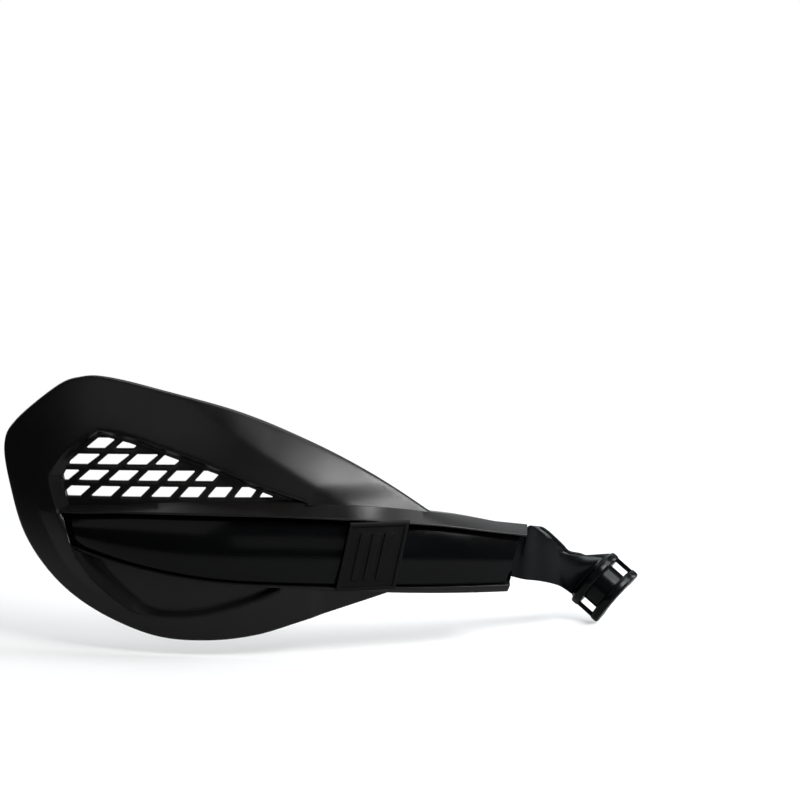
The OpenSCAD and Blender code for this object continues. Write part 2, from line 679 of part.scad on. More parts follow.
module thread_inserts() {
    color(brass)
        translate([shield_x, -shield_out, shield_z]) {
            for (x = arm_screw_x) {
                insert_at(x, arm_seat);
            }
            for (x = spine_screw_x) {
                insert_at(x, spine_seat);
            }
        }
}

shield();
spine();
badge_clip();
mount_arm();
arm_screws();
spine_screws();
washers();
thread_inserts();
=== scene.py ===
# Hand guard for a motorcycle: the looks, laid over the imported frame
import math
import bpy
import numpy as np
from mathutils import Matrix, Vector
from mathutils.geometry import delaunay_2d_cdt


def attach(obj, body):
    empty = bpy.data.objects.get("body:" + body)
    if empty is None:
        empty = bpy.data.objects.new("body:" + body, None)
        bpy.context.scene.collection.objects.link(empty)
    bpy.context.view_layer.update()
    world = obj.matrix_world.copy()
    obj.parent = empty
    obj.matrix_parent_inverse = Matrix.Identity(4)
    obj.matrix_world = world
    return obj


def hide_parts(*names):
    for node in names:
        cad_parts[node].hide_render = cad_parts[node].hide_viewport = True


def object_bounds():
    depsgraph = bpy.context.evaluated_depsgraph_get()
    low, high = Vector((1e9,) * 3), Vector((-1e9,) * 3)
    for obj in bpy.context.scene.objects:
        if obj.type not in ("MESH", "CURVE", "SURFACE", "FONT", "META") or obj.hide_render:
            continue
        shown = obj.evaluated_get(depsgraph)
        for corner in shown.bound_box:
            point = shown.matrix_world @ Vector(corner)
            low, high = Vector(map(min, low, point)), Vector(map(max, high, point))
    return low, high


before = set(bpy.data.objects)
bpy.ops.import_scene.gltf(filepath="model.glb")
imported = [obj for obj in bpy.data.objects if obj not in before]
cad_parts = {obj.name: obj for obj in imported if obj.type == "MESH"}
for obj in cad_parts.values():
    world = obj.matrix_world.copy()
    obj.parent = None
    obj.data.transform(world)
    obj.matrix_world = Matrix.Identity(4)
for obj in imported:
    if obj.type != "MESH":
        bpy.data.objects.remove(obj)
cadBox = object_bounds()
scene = bpy.context.scene
print("frame loaded")

# Values of the whole form, the same as in the part's source, in mm
form = dict(
    place=(-3.6, 0.0, 3.4),          # shield's place from the bar saddle
    wall=2.6,                        # wall of the moulding
    nose=(-200.0, -85.0),            # foremost line of the sheet
    wrapOut=190.0, wrapIn=430.0,     # radii of the wrap seen from above
    crownZ=30.0, crownR=160.0,       # lean seen from the side
    ridge=(-145.5, 62.5), ridgeTurn=(0.534, 0.846),      # ridge of the wing: a point and its direction
    wingFall=0.45, wingSoft=3.0,     # fall of the wing behind that ridge
    wingFrom=-250.0, wingFade=(-240.0, 60.0),
    archRate=0.176,                  # rise of the arched lines per mm of wrap
)


# Straight blend of a and b by t
def mix(a, b, t):
    return a + (b - a) * t


# Three t squared less two t cubed, with t held between 0 and 1
def smooth(t):
    t = np.clip(t, 0.0, 1.0)
    return t * t * (3 - 2 * t)


# The smooth step taken over a length from a start
def fade(x, start, length):
    return smooth((x - start) / length)


# Soft ramp: half of t plus the root of t squared plus k squared
def softRamp(t, k):
    return 0.5 * (t + np.sqrt(t * t + k * k))


# A vector over its own length
def unit(v):
    v = np.asarray(v, float)
    return v / np.linalg.norm(v, axis=-1, keepdims=True)


# Quad numbers of a grid of nu by nv points; a closed direction joins its last row to its first
def gridQuads(nu, nv, closeU=False, closeV=False, start=0):
    i = np.arange(nu if closeU else nu - 1)[:, None]
    j = np.arange(nv if closeV else nv - 1)[None, :]
    a = i * nv + j
    b = i * nv + (j + 1) % nv
    c = ((i + 1) % nu) * nv + (j + 1) % nv
    d = ((i + 1) % nu) * nv + j
    return np.stack([a, b, c, d], -1).reshape(-1, 4) + start


# Signed volume of a closed mesh: the sum of each corner's triple product over six
def volumeOf(points, faces):
    total = 0.0
    for f in faces:
        f = np.asarray(f)
        p = points[f]
        for k in range(1, f.shape[1] - 1):
            total += np.sum(np.cross(p[:, 0], p[:, k]) * p[:, k + 1])
    return total / 6


# One closed skin over rows of ring points, with a flat polygon on each end, faces turned outwards
def ringSkin(rows, capped=True):
    nu, nv = rows.shape[:2]
    points = rows.reshape(-1, 3)
    faces = [gridQuads(nu, nv, closeV=True)]
    if capped:
        faces.append(np.arange(nv)[None, ::-1])
        faces.append((np.arange(nv) + (nu - 1) * nv)[None, :])
    if volumeOf(points, faces) < 0:
        faces = [f[:, ::-1] for f in faces]
    return points, faces


# Several meshes as one list of points and one list of face arrays
def joined(*parts):
    points, faces, start = [], [], 0
    for p, fs in parts:
        points.append(p)
        faces += [np.asarray(f) + start for f in fs]
        start += len(p)
    return np.concatenate(points), faces


# An object from points in mm and arrays of faces; edges sharper than the angle stay sharp
def makePiece(name, points, faces, material, angle=32.0):
    sizes = np.concatenate([np.full(len(f), np.asarray(f).shape[1]) for f in faces])
    corners = np.concatenate([np.asarray(f).reshape(-1) for f in faces]).astype(np.int32)
    mesh = bpy.data.meshes.new(name)
    mesh.vertices.add(len(points))
    mesh.vertices.foreach_set("co", (np.asarray(points) * 0.001).astype(np.float32).ravel())
    mesh.loops.add(len(corners))
    mesh.loops.foreach_set("vertex_index", corners)
    mesh.polygons.add(len(sizes))
    mesh.polygons.foreach_set("loop_start", np.concatenate([[0], np.cumsum(sizes)[:-1]]).astype(np.int32))
    mesh.polygons.foreach_set("use_smooth", np.ones(len(sizes), bool))
    mesh.update(calc_edges=True)
    mesh.validate()
    mesh.set_sharp_from_angle(angle=math.radians(angle))
    mesh.materials.append(material)
    piece = bpy.data.objects.new(name, mesh)
    scene.collection.objects.link(piece)
    return piece


# Rounds the corners of each closed row of points: a corner becomes the curve
# (1-t)^2 start + 2t(1-t) corner + t^2 end, with start and end at the corner's own reach
def roundCorners(rows, reach, steps=4):
    before = np.roll(rows, 1, axis=-2) - rows
    after = np.roll(rows, -1, axis=-2) - rows
    lb = np.linalg.norm(before, axis=-1, keepdims=True) + 1e-9
    la = np.linalg.norm(after, axis=-1, keepdims=True) + 1e-9
    reach = np.asarray(reach, float)[:, None]
    start = rows + before / lb * np.minimum(reach, lb * 0.46)
    end = rows + after / la * np.minimum(reach, la * 0.46)
    t = np.linspace(0, 1, steps)[:, None]
    curve = ((1 - t) ** 2 * start[..., None, :] + 2 * t * (1 - t) * rows[..., None, :]
             + t ** 2 * end[..., None, :])
    return curve.reshape(*rows.shape[:-2], -1, rows.shape[-1])


# Nose line plus radius, less the root of radius squared less distance squared
def planY(x):
    dx = x - form["nose"][0]
    r = np.where(dx < 0, form["wrapOut"], form["wrapIn"])
    return form["nose"][1] + r - np.sqrt(np.maximum(r * r - dx * dx, 1.0))


# Plan line plus height from the crown squared over twice the crown's radius
def baseY(x, z):
    return planY(x) + (z - form["crownZ"]) ** 2 / (2 * form["crownR"])


# Fall times the soft distance behind the slanted ridge, faded in from left to right
def wingY(x, z):
    (atX, atZ), (turnX, turnZ), k = form["ridge"], form["ridgeTurn"], form["wingSoft"]
    s = (x - atX) * turnX + (z - atZ) * turnZ
    fall = form["wingFall"] * (s + np.sqrt(s * s + k * k) - k) / 2 * fade(x, *form["wingFade"])
    return np.where(x < form["wingFrom"], 0.0, np.maximum(fall, 0.0))


# Slopes of the sheet along X and Z: the difference over one mm
def slopes(x, z):
    return baseY(x + 0.5, z) - baseY(x - 0.5, z), baseY(x, z + 0.5) - baseY(x, z - 0.5)


# Root of one plus both slopes squared: what a depth square to the sheet measures along Y
def stretch(x, z):
    sx, sz = slopes(x, z)
    return np.sqrt(1 + sx * sx + sz * sz)


# The point behind the sheet's face at a depth: base plus wing plus depth times stretch, moved to the place
def sheetPoint(x, z, depth, wing=0.0):
    x, z, depth, wing = np.broadcast_arrays(x, z, depth, wing)
    y = baseY(x, z) + wing + depth * stretch(x, z)
    return np.stack([x, y, z], -1) + np.array(form["place"])


# Direction square to the sheet, pointing back: minus both slopes with one along Y, over its length
def sheetNormal(x, z):
    sx, sz = slopes(x, z)
    return unit(np.array([-sx, 1.0, -sz]))


# Catmull cubic of four neighbours: it runs from b to c as t goes from 0 to 1
def catmull(a, b, c, d, t):
    return 0.5 * (2 * b + (c - a) * t + (2 * a - 5 * b + 4 * c - d) * t ** 2
                  + (3 * b - a - 3 * c + d) * t ** 3)


# Catmull curve through closed knots, each piece taken from its four nearest knots
def throughKnots(knots, m):
    p = np.asarray(knots, float)
    a, b, c, d = np.roll(p, 1, 0), p, np.roll(p, -1, 0), np.roll(p, -2, 0)
    t = (np.arange(m) / m)[:, None]
    return catmull(*(q[:, None, :] for q in (a, b, c, d)), t).reshape(-1, 2)


# Hermite curve through closed knots; a knot named as a corner keeps one-sided directions
def throughCorners(knots, corners, m):
    p = np.asarray(knots, float)
    ahead = np.roll(p, -1, 0) - p
    behind = p - np.roll(p, 1, 0)
    even = (ahead + behind) / 2
    corner = np.isin(np.arange(len(p)), corners)[:, None]
    leave = np.where(corner, ahead, even)
    arrive = np.roll(np.where(corner, behind, even), -1, 0)
    q = np.roll(p, -1, 0)
    t = (np.arange(m) / m)[:, None]
    p, q, leave, arrive = (v[:, None, :] for v in (p, q, leave, arrive))
    curve = ((2 * t ** 3 - 3 * t ** 2 + 1) * p + (t ** 3 - 2 * t ** 2 + t) * leave
             + (3 * t ** 2 - 2 * t ** 3) * q + (t ** 3 - t ** 2) * arrive)
    return curve.reshape(-1, 2)


# The same closed loop at equal steps of its length
def evenSteps(loop, step):
    closed = np.concatenate([loop, loop[:1]])
    run = np.concatenate([[0], np.cumsum(np.linalg.norm(np.diff(closed, axis=0), axis=1))])
    at = np.linspace(0, run[-1], max(8, int(round(run[-1] / step))), endpoint=False)
    return np.stack([np.interp(at, run, closed[:, 0]), np.interp(at, run, closed[:, 1])], 1)


# Twice the area of a loop: positive when it runs against the clock
def turning(loop):
    nxt = np.roll(loop, -1, 0)
    return np.sum(loop[:, 0] * nxt[:, 1] - loop[:, 1] * nxt[:, 0])


# Each point moved inwards, square to the line through its two neighbours
def inset(loop, e):
    along = unit(np.roll(loop, -1, 0) - np.roll(loop, 1, 0))
    inward = np.stack([-along[:, 1], along[:, 0]], 1) * np.sign(turning(loop))
    return loop + inward * e


batch = 1500                         # points handled at once in the two functions below


# Shortest distance from each point to the segments of some loops
def distanceTo(points, loops):
    a = np.concatenate(loops)
    b = np.concatenate([np.roll(q, -1, 0) for q in loops])
    ab = b - a
    length = np.maximum(np.sum(ab * ab, 1), 1e-12)
    out = np.empty(len(points))
    for k in range(0, len(points), batch):
        p = points[k:k + batch, None, :]
        t = np.clip(np.sum((p - a) * ab, 2) / length, 0, 1)
        out[k:k + batch] = np.sqrt(np.min(np.sum((p - a - ab * t[..., None]) ** 2, 2), 1))
    return out


# Whether each point lies inside the loops: an odd count of sides crossed on the way right
def inside(points, loops):
    a = np.concatenate(loops)
    b = np.concatenate([np.roll(q, -1, 0) for q in loops])
    out = np.empty(len(points), bool)
    for k in range(0, len(points), batch):
        p = points[k:k + batch, None, :]
        over = (a[:, 1] > p[..., 1]) != (b[:, 1] > p[..., 1])
        rise = np.where(np.abs(b[:, 1] - a[:, 1]) < 1e-12, 1e-12, b[:, 1] - a[:, 1])
        cross = a[:, 0] + (p[..., 1] - a[:, 1]) * (b[:, 0] - a[:, 0]) / rise
        out[k:k + batch] = np.sum(over & (cross > p[..., 0]), 1) % 2 == 1
    return out


# Distance to a loop, positive inside it
def signedTo(points, loop):
    return distanceTo(points, [loop]) * np.where(inside(points, [loop]), 1, -1)


beam = dict(
    gapUpper=2.4,       # between the strip's upper edge and the channel's wall
    gapLower=0.6,       # between the strip's lower edge and the channel's wall
    lip=1.2,            # front lips of the channel
    floor=15.0,         # depth of the channel's floor
    steps=150,          # stations along the beam
    ends=(-298.0, -48.5), lean=(-0.29, 0.33), turnAt=(45, 30),       # both ends, their slant and its height
    ledgeDepth=(0.4, 1.2), ledgeFade=(-188.0, 26.0), wingMost=9,     # how deep the ledge meets the sheet
    lapDepth=(0.2, 1.5), lapFade=(-215.0, 40.0),                     # and the lower lap
    plug=(0.004, 0.016), plugDepth=(3.6, 16.5),                      # wall that closes the outer end
    reach=(0.0, 0.55, 0.3, 0.5, 1.6, 0.0, 1.6, 0.5, 0.8, 0.0, 0.0, 1.5, 2.0, 0.0, 2.0, 1.5, 0.0),
)
edges = dict(
    top=55.2, topAt=-220.0, topBend=0.000558,            # strip's upper edge
    low=19, lowAt=-150.9, lowSlope=0.046,                # strip's lower edge
    lowTurn=-195, lowBend=0.00107,                       # where it turns up on the left
    ledge=65, ledgeAt=-195.0, ledgeBend=0.0011, ledgeOver=0.8,
    gapLess=1, gapLeft=(-290.0, 30.0), gapRight=(-100.0, 40.0),
    under=0.6, underMore=2.4, underFade=(-200.0, 150.0),
)


# Its height less the bend times the distance from its crown squared
def stripTop(x):
    return edges["top"] - edges["topBend"] * (x - edges["topAt"]) ** 2


# Its height less the slope, plus the bend times the distance left of the turn squared
def stripLow(x):
    turn = np.maximum(0, edges["lowTurn"] - x) ** 2
    return edges["low"] - edges["lowSlope"] * (x - edges["lowAt"]) + edges["lowBend"] * turn


# The upper gap less a little, plus one where it is faded in on the left and not yet out on the right
def gapTop(x):
    middle = fade(x, *edges["gapLeft"]) * (1 - fade(x, *edges["gapRight"]))
    return beam["gapUpper"] - edges["gapLess"] + middle


# Its height less the bend times the distance from its crown squared, kept over the channel's wall
def ledgeZ(x):
    over = stripTop(x) + gapTop(x) + form["wall"] + edges["ledgeOver"]
    return np.maximum(edges["ledge"] - edges["ledgeBend"] * (x - edges["ledgeAt"]) ** 2, over)


# The strip's lower edge less the gap, the lip and a growing margin
def lowerLip(x):
    margin = edges["underMore"] * fade(x, *edges["underFade"])
    return stripLow(x) - beam["gapLower"] - beam["lip"] - edges["under"] - margin


# Half the sum of the strip's two edges
def beamMiddle(x):
    return (stripTop(x) + stripLow(x)) / 2


# The station's x plus the lean times the height over the turning height, both blended along the beam
def slanted(x, z, s, turnAt):
    return x + mix(*beam["lean"], s) * (z - mix(*turnAt, s))


sheet = dict(
    outline=[(-336.3, 84), (-329, 98.4), (-304.4, 119), (-290, 125), (-275, 126), (-248.2, 121.9),
             (-205.9, 112), (-164.6, 95.3), (-130.4, 77.3), (-100, 57), (-86, 46), (-90, 24),
             (-118.6, 14.4), (-164.9, -0.4), (-192.5, -9.1), (-220.3, -12.6), (-248.4, -11),
             (-279.8, 0.2), (-303.4, 15.2), (-321.8, 36.6), (-331.5, 61.5)],
    recessEdge=[(-278.3, 98.7), (-290.7, 91.1), (-299.5, 83.5), (-307.6, 72.4), (-305.5, 63.5),
                (-302.4, 54.7), (-296.4, 43.1), (-291.3, 31.8), (-283.4, 20.6), (-272.7, 10.9),
                (-261, 2.5), (-247.9, 0.6), (-233.7, 0.8), (-219.8, 2.8), (-205.8, 6.7), (-192.1, 11.1),
                (-179, 17), (-164, 64.2), (-178.3, 69), (-194.4, 74.8), (-210.5, 81.5), (-226.8, 87.3),
                (-243.3, 92.3), (-261.1, 96.9)],
    recessFoot=[(-278, 96.4), (-288.4, 88.6), (-295.2, 81.4), (-300.3, 71.2), (-297.6, 63),
                (-294.8, 54.5), (-287.5, 43.6), (-281.2, 33.5), (-272.3, 22.4), (-262.5, 13.5),
                (-253.5, 6.8), (-245.5, 4), (-233.2, 3.6), (-220.3, 5.2), (-206.6, 8.9), (-193, 13.2),
                (-182, 18), (-166.5, 63.8), (-178.9, 67.7), (-195.3, 73.1), (-211.5, 79.3), (-227.8, 84.6),
                (-244, 89.5), (-261.3, 93.8)],
    corners=(0, 3, 10, 16, 17),      # sharp corners of the recess
    depth=5.0,                       # depth of the recess
    fillet=0.4,                      # softness of the recess's edges
    rungs=(-0.14, 0.0, 0.13, 0.3, 0.5, 0.7, 0.87, 1.0, 1.14),    # lines of points down the bevel
    backGrow=0.8,                    # how much wider the recess is on the back, in walls
    rim=1.25,                        # rounding of the outer rim
    backRim=(0.9, 0.5),              # rounding of the back's edges at the rim and at the vents
    leastWall=0.4,
    rings=(0.0, 0.08, 0.29, 0.62, 1.0),          # lines of points over a rounding, as shares of it
    cutEnds=(-299.5, -293, -60),     # cut for the channel: its ends at upper left, lower left and right
    grid=1.7, near=0.9, rimStep=1.1,             # spacing of the points: in the open, on lines, on the rim
    gridX=(-342, -80), gridZ=(-18, 132),
)
band = dict(
    width=11.0, slope=-0.2,          # turned band outside the recess's lower left edge
    low=2.0, top=54.0, power=2.6,    # heights between which it lies, and how soon it widens
    startSoft=0.8, right=(-262, 24), most=-255,
    across=(-320, -296, 0.8), startZ=(52.8, 55.8, 0.5),          # extra points where it starts
    crease=1.8,                      # step by the recess's tip, and where it fades
    creaseLeft=(-164.0, 10.0), creaseRight=(-148.0, 60.0), creaseTop=(62, 13),
)
vents = dict(
    rows=4, low=66.2, pitch=8.4, height=5.3,
    first=-282.8, firstZ=71.5, bars=(-4, 10),
    barPitch=17.3, barShrink=0.76, barWidth=6.2, widthLoss=0.28, barLean=1.19, leanLoss=0.075,
    corner=0.3,                      # corner radius of a hole
    sliver=0.7,                      # a hole that vanishes when moved in this much more is left out
    thinner=(0.0, 0.7, 1.8, 0.5),    # how much thinner the slanted bars are in each row
    margin=0.5, marginTop=1.5,       # plain strip at the recess's foot, at the sides and along the top
    areaFoot=((-296, 56), (-168, 56)),
    outside=9, reach=13,             # how far past the area a hole may lie, and how near a border cuts it
    rim=1.15,                        # rounding of the bars' front edges
)


# Row line less the arch, which grows with the wrap
def rowZ(x, w):
    return w - form["archRate"] * (planY(x) - form["nose"][1])


# Bar lines at a pitch that shrinks, and leaning less and less
def barX(k, w):
    return (vents["first"] + vents["barPitch"] * k - vents["barShrink"] / 2 * k * (k - 1)
            + (w - vents["firstZ"]) * (vents["barLean"] - vents["leanLoss"] * k))


# The part of a convex loop on the left of the line from a to b
def cutLeft(loop, a, b):
    if len(loop) < 3:
        return loop[:0]
    side = (b[0] - a[0]) * (loop[:, 1] - a[1]) - (b[1] - a[1]) * (loop[:, 0] - a[0])
    before, sideBefore = np.roll(loop, 1, 0), np.roll(side, 1)
    crossed = (sideBefore > 0) != (side > 0)
    gap = np.where(crossed, sideBefore - side, 1.0)
    cut = before + (loop - before) * sideBefore[:, None] / gap[:, None]
    return np.stack([cut, loop], 1)[np.stack([crossed, side > 0], 1)]


# A hole: its sides moved in by the corner radius, cut with each other, then grown back round
def ventLoop(k, row, area):
    w0 = vents["low"] + row * vents["pitch"]
    w1 = w0 + vents["height"]
    width = vents["barWidth"] - vents["widthLoss"] * k
    thinner = vents["thinner"][row]
    x00, x01 = barX(k, w0) + width, barX(k, w1) + width
    x10, x11 = barX(k + 1, w0) + thinner * 0.7, barX(k + 1, w1) + thinner * 1.2
    hole = np.array([(x, rowZ(x, w)) for x, w in ((x00, w0), (x10, w0), (x11, w1), (x01, w1))])
    middle = hole.mean(0)
    near = distanceTo(middle[None], [area])[0]
    if not inside(middle[None], [area])[0] and near > vents["outside"]:
        return None
    sides = [(hole[i], hole[(i + 1) % 4], vents["corner"]) for i in range(4)]
    for i in range(len(area)):
        a, b = area[i], area[(i + 1) % len(area)]
        t = np.clip(np.dot(middle - a, b - a) / np.dot(b - a, b - a), 0, 1)
        if np.linalg.norm(a + (b - a) * t - middle) < vents["reach"]:
            top = abs(b[1] - a[1]) < abs(b[0] - a[0]) and min(a[1], b[1]) > 60
            sides.append((a, b, vents["corner"] + vents["marginTop" if top else "margin"]))

    def shrunk(more):
        core = middle + np.array([(-40, -40), (40, -40), (40, 40), (-40, 40)])
        for a, b, move in sides:
            left = np.array([a[1] - b[1], b[0] - a[0]]) / np.linalg.norm(b - a) * (move + more)
            core = cutLeft(core, a + left, b + left)
        return core

    core = shrunk(0)
    if len(shrunk(vents["sliver"])) < 3:
        return None
    core = core[np.linalg.norm(core - np.roll(core, 1, 0), axis=1) > 0.05]
    turns = []
    for k in range(len(core)):
        p, q, r = core[k - 1], core[k], core[(k + 1) % len(core)]
        a0 = math.atan2(q[1] - p[1], q[0] - p[0]) - math.pi / 2
        a1 = math.atan2(r[1] - q[1], r[0] - q[0]) - math.pi / 2
        a = a0 + np.linspace(0, (a1 - a0) % (2 * math.pi), 4)
        turns.append(q + vents["corner"] * np.stack([np.cos(a), np.sin(a)], 1))
    return evenSteps(np.concatenate(turns), 0.5)


# Fraction of the way down the bevel: distance inside the edge over the bevel's own width
def recessDepth(points, edge, foot, grow=0.0):
    a = signedTo(points, edge) + grow
    b = signedTo(points, foot) + grow
    width = np.maximum(a - b, 0.8)
    t, k = a / width, sheet["fillet"] / width
    return sheet["depth"] * (softRamp(t, k) - softRamp(t - 1, k)), a


# How much a rounded rim lies back at a distance from it: r less the root of r^2 - (r-e)^2
def rimBack(e, r):
    short = np.clip(r - e, 0, r)
    return r - np.sqrt(np.maximum(r * r - short * short, 0))


# Width of the turned band: its full width times one less a power of the share of height left below its top
def bandWidth(z):
    share = np.clip((z - band["low"]) / (band["top"] - band["low"]), 0, 1)
    return band["width"] * (1 - (1 - share) ** band["power"])


# How far the band stands forward: its slope times the way in from the outer crease, lost again down the
# recess's bevel and faded out to the right; behind the recess's tip the sheet falls back in a soft step
def bandBack(x, z, toEdge, down):
    soft = band["startSoft"]
    start = smooth((band["top"] + soft - z) / (soft * 2)) * (1 - fade(x, *band["right"]))
    fall = band["slope"] * np.clip(bandWidth(z) + np.minimum(toEdge, 0), 0, None) * start
    crease = (band["crease"] * fade(x, *band["creaseLeft"]) * (1 - fade(x, *band["creaseRight"]))
              * (1 - fade(z, *band["creaseTop"])))
    return fall * (1 - smooth(down / sheet["depth"])) + crease


# The sheet: a flat net of triangles through all drawn lines, whose points are carried to the base's depth
# plus the recess, the rounded rims, the wing and the band; the back lies one wall behind the front
def shieldSheet():
    near, step = sheet["near"], sheet["grid"]
    outline = evenSteps(throughKnots(sheet["outline"], 24), sheet["rimStep"])
    edgeLine = throughCorners(sheet["recessEdge"], sheet["corners"], 14)
    footLine = throughCorners(sheet["recessFoot"], sheet["corners"], 14)
    edge, foot = evenSteps(edgeLine, near), evenSteps(footLine, near)
    leftTop, leftLow, right = sheet["cutEnds"]
    over, under = np.linspace(leftTop, right, 150), np.linspace(right, leftLow, 150)
    cut = np.concatenate([np.stack([over, ledgeZ(over) - near], 1),
                          np.stack([under, lowerLip(under) + near], 1)])
    knots = np.array(sheet["recessFoot"])
    area = np.concatenate([knots[:5], vents["areaFoot"], knots[17:]])
    area = area if turning(area) > 0 else area[::-1]
    holes = [ventLoop(k, row, area) for row in range(vents["rows"]) for k in range(*vents["bars"])]
    holes = [h for h in holes if h is not None]
    print("vent holes", len(holes))
    lines = [inset(outline, sheet["rim"] * e) for e in sheet["rings"]]
    lines += [inset(h, -vents["rim"] * e) for h in holes for e in sheet["rings"]]
    lines += [evenSteps(mix(edgeLine, footLine, t), near) for t in sheet["rungs"]] + [cut]
    lines += [inset(q, -form["wall"] * sheet["backGrow"]) for q in (edge, foot)]
    outer = [inset(edge, -bandWidth(edge[:, 1:]) + e) for e in (-0.5, 0, 0.5)]
    loose = [q[(edge[:, 0] < band["most"]) & (edge[:, 1] < band["top"])] for q in outer]
    across = np.arange(*band["across"])
    loose += [np.stack([across, across * 0 + z], 1) for z in np.arange(*band["startZ"])]
    gx, gz = np.meshgrid(np.arange(*sheet["gridX"], step), np.arange(*sheet["gridZ"], step * 0.866))
    gx = gx + (np.arange(gz.shape[0]) % 2)[:, None] * step / 2
    points = np.stack([gx.ravel(), gz.ravel()], 1)
    loose = np.concatenate(loose)
    cell, taken = (np.round(q / (step * 0.6)).astype(int) @ (100000, 1)
                   for q in (points, np.concatenate(lines + [loose])))
    points = points[~np.isin(cell, taken)]
    start, sides = 0, []
    for q in lines:
        n = np.arange(len(q))
        sides += np.stack([n + start, (n + 1) % len(q) + start], 1).tolist()
        start += len(q)
    flat = np.concatenate(lines + [loose, points])
    made = delaunay_2d_cdt(flat.tolist(), sides, [], 0, 1e-5, False)
    flat = np.array([v[:] for v in made[0]])
    tris = np.array(made[2])
    middle = flat[tris].mean(1)
    keep = inside(middle, [outline]) & ~inside(middle, holes) & ~inside(middle, [cut])
    tris = tris[keep]
    used, tris = np.unique(tris, return_inverse=True)
    flat, tris = flat[used], tris.reshape(-1, 3)
    x, z = flat[:, 0], flat[:, 1]
    down, toEdge = recessDepth(flat, edge, foot)
    back, _ = recessDepth(flat, edge, foot, form["wall"] * sheet["backGrow"])
    fromRim = distanceTo(flat, [outline])
    fromVent = distanceTo(flat, holes)
    front = down + rimBack(fromRim, sheet["rim"]) + rimBack(fromVent, vents["rim"])
    rimRound, ventRound = sheet["backRim"]
    behind = back + form["wall"] - rimBack(fromRim, rimRound) - rimBack(fromVent, ventRound)
    wing = wingY(x, z) + bandBack(x, z, toEdge, down)
    top = sheetPoint(x, z, front, wing)
    low = sheetPoint(x, z, np.maximum(behind, front + sheet["leastWall"]), wing)
    flip = np.cross(flat[tris[:, 1]] - flat[tris[:, 0]], flat[tris[:, 2]] - flat[tris[:, 0]]) < 0
    tris[flip] = tris[flip][:, ::-1]
    pairs = np.concatenate([tris[:, [0, 1]], tris[:, [1, 2]], tris[:, [2, 0]]])
    key = pairs[:, 0] * len(flat) + pairs[:, 1]
    other = pairs[:, 1] * len(flat) + pairs[:, 0]
    border = pairs[~np.isin(key, other)]
    n = len(flat)
    walls = np.stack([border[:, 1], border[:, 0], border[:, 0] + n, border[:, 1] + n], 1)
    return np.concatenate([top, low]), [tris, tris[:, ::-1] + n, walls]


# The channel beam: one top-hat section of heights and depths carried along the slanted stations
def channelBeam():
    s = np.linspace(0, 1, beam["steps"])[:, None]
    x = mix(*beam["ends"], s)
    wall, lip, f = form["wall"], beam["lip"], beam["floor"]
    zt, zb, zl, zd = stripTop(x) + gapTop(x), stripLow(x) - beam["gapLower"], ledgeZ(x), lowerLip(x)
    near, far = beam["ledgeDepth"]
    da = mix(sheet["depth"] + near, far, fade(x, *beam["ledgeFade"]))
    da = da + np.minimum(beam["wingMost"], wingY(x, zl))
    g = (da + 0.3) / (zl - zt - lip)
    du = np.minimum(g * (wall - lip) - 0.3 + wall * np.sqrt(1 + g * g), da + wall * 1.1)
    near, far = beam["lapDepth"]
    dd = mix(sheet["depth"] + near, far, fade(x, *beam["lapFade"]))
    o = x * 0
    corners = [(zl, da), (zt + lip, o - 0.3), (zt + lip * 0.6, o - 0.6), (zt, o - 0.3), (zt, o + f),
               ((zt + zb) / 2, o + f), (zb, o + f), (zb, o + 0.1), (zb - lip, o), (zd, dd), (zd, dd + wall),
               (zb - wall, dd + wall + 1), (zb - wall, o + f + wall), ((zt + zb) / 2, o + f + wall),
               (zt + wall, o + f + wall), (zt + wall, du), (zl, da + wall * 1.1)]
    section = np.stack([np.concatenate(c, 1) for c in zip(*corners)], -1)
    section = roundCorners(section, beam["reach"])
    z, d = section[..., 0], section[..., 1]
    body = ringSkin(sheetPoint(slanted(x, z, s, beam["turnAt"]), z, d))
    s = np.linspace(*beam["plug"], 3)[:, None]
    x = mix(*beam["ends"], s)
    zt, zb = stripTop(x) + gapTop(x) + wall * 0.6, stripLow(x) - beam["gapLower"] - wall * 0.6
    o = x * 0
    z = np.concatenate([zt, zt, zb, zb], 1)
    near, far = beam["plugDepth"]
    d = np.concatenate([o + near, o + far, o + far, o + near], 1)
    end = ringSkin(sheetPoint(slanted(x, z, s, beam["turnAt"]), z, d))
    return joined(body, end)


# A turned piece: radius and height pairs carried round an axis from a place: place plus
# radius times (cos t side + sin t up) plus height times axis
def turned(profile, place, axis, around, start=0.0, stop=2 * math.pi, side=None):
    profile = np.asarray(profile, float)
    axis = unit(axis)
    side = unit(np.cross(axis, (0.3, 0.2, 0.9))) if side is None else unit(side)
    up = np.cross(axis, side)
    full = abs(stop - start - 2 * math.pi) < 1e-6
    t = np.linspace(start, stop, around, endpoint=not full)[:, None, None]
    rows = (np.asarray(place) + profile[:, :1] * (np.cos(t) * side + np.sin(t) * up)
            + profile[:, 1:] * axis)
    points = rows.reshape(-1, 3)
    n, m = rows.shape[:2]
    faces = [gridQuads(n, m, closeU=full, closeV=not full)]
    if full:
        points = np.concatenate([points, rows[:, 0].mean(0)[None], rows[:, -1].mean(0)[None]])
        i = np.arange(n)
        faces.append(np.stack([i * m, ((i + 1) % n) * m, i * 0 + n * m], 1)[:, ::-1])
        faces.append(np.stack([i * m + m - 1, ((i + 1) % n) * m + m - 1, i * 0 + n * m + 1], 1))
    else:
        faces.append(np.arange(m)[None, ::-1])
        faces.append((np.arange(m) + (n - 1) * m)[None, :])
    if volumeOf(points, faces) < 0:
        faces = [f[:, ::-1] for f in faces]
    return points, faces


screws = dict(
    arm=(-99.0, -70.0), strip=(-272.0, -185.0),      # places along the beam
    armSeat=8.4, stripSeat=11.8,                     # depths of the bosses' ends
)


